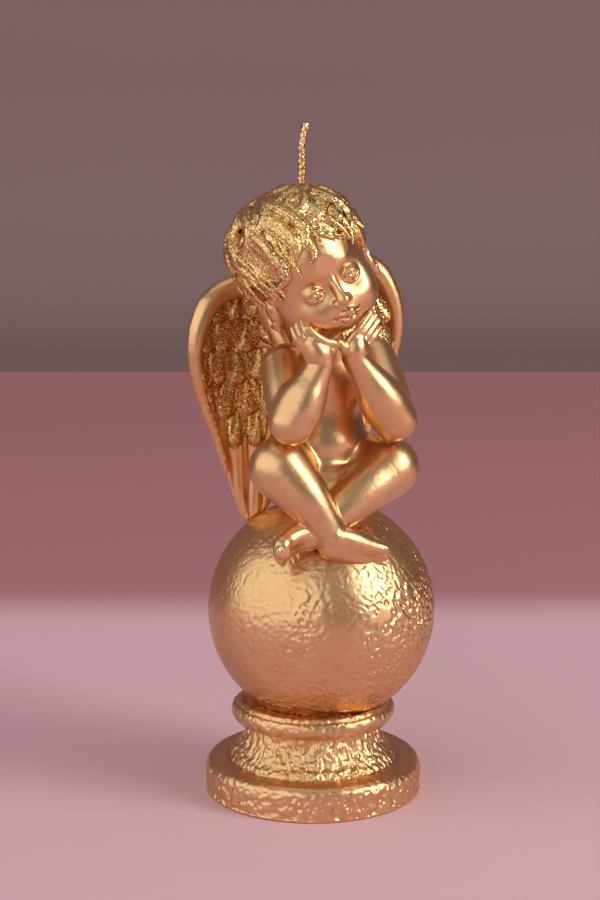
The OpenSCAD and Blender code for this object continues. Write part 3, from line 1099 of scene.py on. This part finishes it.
def foot_waist(depth):
    """The hollow waist, streaked up and down, from just inside the slab to just under the bead."""
    z = slab_size()[1]
    rise = [(19, 0), (18.4, 0.9), (17.2, 2.2), (16, 4), (15.2, 6), (14.9, 7.6), (15.1, 8.8), (14.6, 9.6)]
    waist = [(WICK_BORE, z - 1), (19, z - 1)] + [(radius, z + up) for radius, up in rise]
    waist += [(WICK_BORE, z + 9.6), (WICK_BORE, z - 1)]
    points, faces = turned_ring(smoothed(waist), 500, 0.28, 13)
    wall = fade(off_axis(points), 12.5, 14)
    streak = lattice_noise(points * (1, 1, 0.3), 0.9, 4) + 0.7 * lattice_noise(points * (1, 1, 0.5), 1.8, 6)
    return dented(points, faces, (streak + worm_dents(points, 1.1, 9)) * depth * 0.8 * wall), faces


def foot_bead(depth):
    """The bead under the ball, with a thin roll on its shoulder."""
    low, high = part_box("base_bead")
    z, thick = (low[2] / MM + high[2] / MM) / 2 - 0.2, 2.5
    r = high[0] / MM
    bead = [(WICK_BORE, z - 1.5), (13.6, z - 1.7)] + arc((r - thick, z), thick, -110, 38, 15)
    bead += [(r - 1.1, z + 1.65)] + arc((r - 2.1, z + 1.6), 0.9, 0, 110, 7)
    bead += [(r - 3.4, z + 2), (r - 4.4, z + 2.2), (WICK_BORE, z + 2.2), (WICK_BORE, z - 1.5)]
    points, faces = turned_ring(bead, 500, 0.26, 13)
    wobble = 0.16 * lattice_noise(points, 7, 2) + worm_dents(points, 1.2, 12) * depth * 0.8
    return dented(points, faces, wobble * fade(off_axis(points), 13, 15)), faces


def slab_size():
    """The slab's radius and height."""
    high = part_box("base_disc")[1]
    return high[0] / MM, high[2] / MM


def off_axis(points):
    """Each point's distance from the upright axis."""
    return np.hypot(points[:, 0], points[:, 1])


def smoothed(profile):
    """The profile with its outer stretch drawn as one curve."""
    head, tail = profile[:2], profile[-2:]
    return head + [tuple(p) for p in smooth_path(profile[2:-2], 60)] + tail


class CHERUB_OT_ball(bpy.types.Operator):
    """Cast the ball, with its worm-like dents"""

    bl_idname = "cherub.ball"
    bl_label = "Ball"

    def execute(self, context):
        form = ball_form()
        low, high, _ = form
        clay = Clay(low - 1, high + 1, 0.235).press(form, 0)
        points, faces = clay.skin(1)
        depth = sizes().pit_depth / MM

        # The dents crowd towards the cherub's left and the bottom, and thin out on the other side
        low_right = (points - low) @ np.array([0.8, 0, -0.35]) / 34 - 0.35
        more = 0.2 + 0.8 * fade(lattice_noise(points, 13, 21) * 0.6 + low_right, -0.3, 0.3)
        dent = 1.2 * worm_dents(points, 1.15, 17) * more + 0.3 * (more - 0.2) * lattice_noise(points, 2.4, 5)
        points = dented(points, faces, (dent + 0.25) * depth)
        add_piece("ball", points, faces, pitted_gold(), "gold_lacquer_textured", ["ball"])
        return {"FINISHED"}


class CHERUB_OT_body(bpy.types.Operator):
    """Sculpt the torso, arms, hands, legs and feet as one skin in separate sections"""

    bl_idname = "cherub.body"
    bl_label = "Body"

    def execute(self, context):
        forms = body_forms()
        for name in forms:
            finer = 0.72 if name.endswith(("hand", "foot")) else 1
            points, faces = section(name, forms, sizes().skin_step / MM * finer).skin(6)
            add_piece(name + "_skin", points, faces, smooth_gold(), "gold_lacquer", [name])
        return {"FINISHED"}


class CHERUB_OT_head(bpy.types.Operator):
    """Sculpt the head with a calm infant's face, and both ears"""

    bl_idname = "cherub.head"
    bl_label = "Head and ears"

    def execute(self, context):
        step = sizes().head_step / MM
        points, faces = sculpt_head(step).skin(1)
        add_piece("head_and_face", head_to_frame(points), faces, smooth_gold(), "gold_lacquer", ["head"])
        for side, name in zip(SIDES, ("right_ear", "left_ear")):
            points, faces = sculpt_ear(side, step * 0.8).skin(1)
            add_piece(name + "_shell", head_to_frame(points), faces, smooth_gold(), "gold_lacquer", [name])
        return {"FINISHED"}


class CHERUB_OT_hair(bpy.types.Operator):
    """Lay the hair in wavy locks round the whorl"""

    bl_idname = "cherub.hair"
    bl_label = "Hair"

    def execute(self, context):
        points, faces = sculpt_hair(0.25, sizes().hair_locks, 11).skin(1)
        add_piece("hair_locks", head_to_frame(points), faces, hair_glitter(), "gold_glitter", ["hair"])
        return {"FINISHED"}


class CHERUB_OT_wings(bpy.types.Operator):
    """Sculpt both wings and the short feathers that line them"""

    bl_idname = "cherub.wings"
    bl_label = "Wings"

    def execute(self, context):
        for side, name in zip(SIDES, ("right_wing", "left_wing")):
            for lining in (False, True):
                points, faces = sculpt_wing(side, 0.26, lining).skin(1)
                if side < 0:
                    points, faces = points * (-RIGHT_WING_WIDTH, 1, 1), faces[:, ::-1]
                node = name + "_feathers" if lining else name
                finish = lining_glitter() if lining else smooth_gold()
                slot = "gold_glitter" if lining else "gold_lacquer"
                add_piece(node + "_relief", points, faces, finish, slot, [node])
        return {"FINISHED"}


class CHERUB_OT_wick(bpy.types.Operator):
    """Run the twisted wick from the underside, through the wax, and out of the crown"""

    bl_idname = "cherub.wick"
    bl_label = "Wick"

    def execute(self, context):
        finish = finish_once("wick_flakes", glitter_finish, tuple(colours().glitter), 0.3, 0.5, 0.0)
        add_piece("wick_cotton", *twisted_wick(), finish, "glitter_wick", ["wick"])
        return {"FINISHED"}


def wick_line():
    """The wick's middle: straight up through the wax, then leaning at its free end."""
    crown = np.array(WICK_CROWN)
    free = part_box("wick")[1][2] / MM - crown[2]
    inside = [np.array([0, 0, 0.02]), crown * 0.5, crown * 0.98]
    lean = [(0, 0), (0.35, 0.1), (0.6, 0), (0.8, 0.5), (0.985, 1.1)]
    outside = [crown + (x, 0, t * free) for t, x in lean]
    return np.vstack([smooth_path(inside, 60), smooth_path(outside, 70)])


def twisted_wick():
    """A three-ply twist round the wick's line, closed at both ends."""
    line = wick_line()
    around = 28
    angle = np.linspace(0, 2 * math.pi, around, endpoint=False)
    turn = 2 * math.pi * line[:, 2] * MM / sizes().wick_twist
    ply = 1 - 0.16 * np.abs(np.sin(1.5 * (angle[None, :] + turn[:, None])))
    frayed = 1 - 0.12 * fade(line[:, 2], line[-1, 2] - 0.8, line[-1, 2])
    reach = WICK_BORE * ply * frayed[:, None]
    ring = np.stack([np.cos(angle) * reach, np.sin(angle) * reach, np.zeros_like(reach)], axis=-1)
    points = (line[:, None, :] + ring).reshape(-1, 3)
    points += 0.035 * lattice_noise(points, 0.5, 31)[:, None] * ring.reshape(-1, 3)
    low = np.arange(len(line) - 1)[:, None] * around
    a, b = low + np.arange(around), low + (np.arange(around) + 1) % around
    faces = np.stack([a, b, b + around, a + around], axis=-1).reshape(-1, 4).tolist()
    faces += [list(range(around))[::-1], list(range(len(points) - around, len(points)))]
    return points, faces


class CHERUB_OT_stage(bpy.types.Operator):
    """Set the pale floor, the wall behind, soft lights and the camera"""

    bl_idname = "cherub.stage"
    bl_label = "Stage"

    def execute(self, context):
        stage_floor()
        stage_lights()
        stage_camera()
        return {"FINISHED"}


def stage_floor():
    """A floor, and a wall whose paint starts a little before it turns up."""
    away = Vector((math.sin(STAGE_TURN), math.cos(STAGE_TURN), 0))
    side = Vector((away.y, -away.x, 0))
    edge, reach, width, height, cove = 0.54, 0.6, 4.0, 3.0, 0.12

    def strip(name, profile, finish):
        points = [away * d + side * w + Vector((0, 0, z)) for d, z in profile for w in (-width, width)]
        faces = [(2 * k, 2 * k + 1, 2 * k + 3, 2 * k + 2) for k in range(len(profile) - 1)]
        mesh = bpy.data.meshes.new(name)
        mesh.from_pydata([tuple(p) for p in points], [], faces)
        mesh.polygons.foreach_set("use_smooth", [True] * len(mesh.polygons))
        mesh.materials.append(finish)
        obj = bpy.data.objects.new(name, mesh)
        bpy.context.scene.collection.objects.link(obj)

    strip("floor", [(-3.0, 0), (edge, 0)], floor_finish("floor_paint", tuple(colours().floor), True))
    bend = [(reach + cove * math.sin(a), cove * (1 - math.cos(a))) for a in np.linspace(0, math.pi / 2, 9)]
    strip("wall", [(edge, 0), *bend, (reach + cove, height)], floor_finish("wall_paint", tuple(colours().wall)))


def area_light(name, at, aim, size, power, tint):
    """A soft rectangular light that faces a place."""
    light = bpy.data.lights.new(name, "AREA")
    light.shape = "RECTANGLE"
    light.size, light.size_y = size
    light.energy = power
    light.color = tint
    lamp = bpy.data.objects.new(name, light)
    bpy.context.scene.collection.objects.link(lamp)
    lamp.location = at
    lamp.rotation_euler = (Vector(aim) - Vector(at)).to_track_quat("-Z", "Y").to_euler()


def stage_lights():
    """A window on the cherub's left, a pale wall on its right, a ceiling, and the room's own dim light."""
    middle = (0, 0, 0.08)
    area_light("window", (0.62, -0.72, 0.55), middle, (0.46, 0.7), 6.5, (1.0, 0.97, 0.9))
    area_light("left_wall", (-1.0, -0.2, 0.42), middle, (2.5, 1.6), 12, (1.0, 0.96, 0.9))
    area_light("ceiling", (0.1, 0.1, 1.1), middle, (1.0, 0.9), 1.6, (1.0, 0.95, 0.88))
    world = bpy.data.worlds.new("room")
    bpy.context.scene.world = world
    world.use_nodes = True
    world.node_tree.nodes["Background"].inputs["Color"].default_value = (0.5, 0.46, 0.43, 1)
    world.node_tree.nodes["Background"].inputs["Strength"].default_value = 0.42
    bpy.context.scene.view_settings.view_transform = "Standard"


def stage_camera():
    """Looks from the cherub's right, 25 degrees round and 12 degrees down."""
    turn, down = -STAGE_TURN, math.radians(12)
    back = Vector((math.sin(turn) * math.cos(down), -math.cos(turn) * math.cos(down), math.sin(down)))
    right = Vector((math.cos(turn), math.sin(turn), 0))
    up = back.cross(right)
    camera = bpy.data.cameras.new("camera")
    camera.sensor_width = 36
    camera.lens = 92
    camera.clip_start = 0.05
    lens = bpy.data.objects.new("camera", camera)
    bpy.context.scene.collection.objects.link(lens)
    facing = Matrix((right, up, back)).transposed().to_4x4()
    lens.matrix_world = Matrix.Translation((-0.2130, -0.4498, 0.1840)) @ facing
    bpy.context.scene.camera = lens


class CHERUB_PT_panel(bpy.types.Panel):
    bl_idname = "CHERUB_PT_panel"
    bl_label = "Cherub candle"
    bl_space_type = "VIEW_3D"
    bl_region_type = "UI"
    bl_category = "Cherub"

    def draw(self, context):
        for group in (context.scene.cherub_sizes, context.scene.cherub_colours):
            for key in group.__annotations__:
                self.layout.prop(group, key)
        for step in STEPS:
            self.layout.operator(step.bl_idname)


STEPS = (
    CHERUB_OT_stage,
    CHERUB_OT_foot,
    CHERUB_OT_ball,
    CHERUB_OT_body,
    CHERUB_OT_head,
    CHERUB_OT_hair,
    CHERUB_OT_wings,
    CHERUB_OT_wick,
)
CLASSES = (CherubSizes, CherubColours, *STEPS, CHERUB_PT_panel)


def register():
    for item in CLASSES:
        bpy.utils.register_class(item)
    bpy.types.Scene.cherub_sizes = bpy.props.PointerProperty(type=CherubSizes)
    bpy.types.Scene.cherub_colours = bpy.props.PointerProperty(type=CherubColours)


def unregister():
    del bpy.types.Scene.cherub_colours
    del bpy.types.Scene.cherub_sizes
    for item in reversed(CLASSES):
        bpy.utils.unregister_class(item)


def main():
    register()
    for step in STEPS:
        area, name = step.bl_idname.split(".")
        getattr(getattr(bpy.ops, area), name)()


if __name__ == "__main__":
    main()
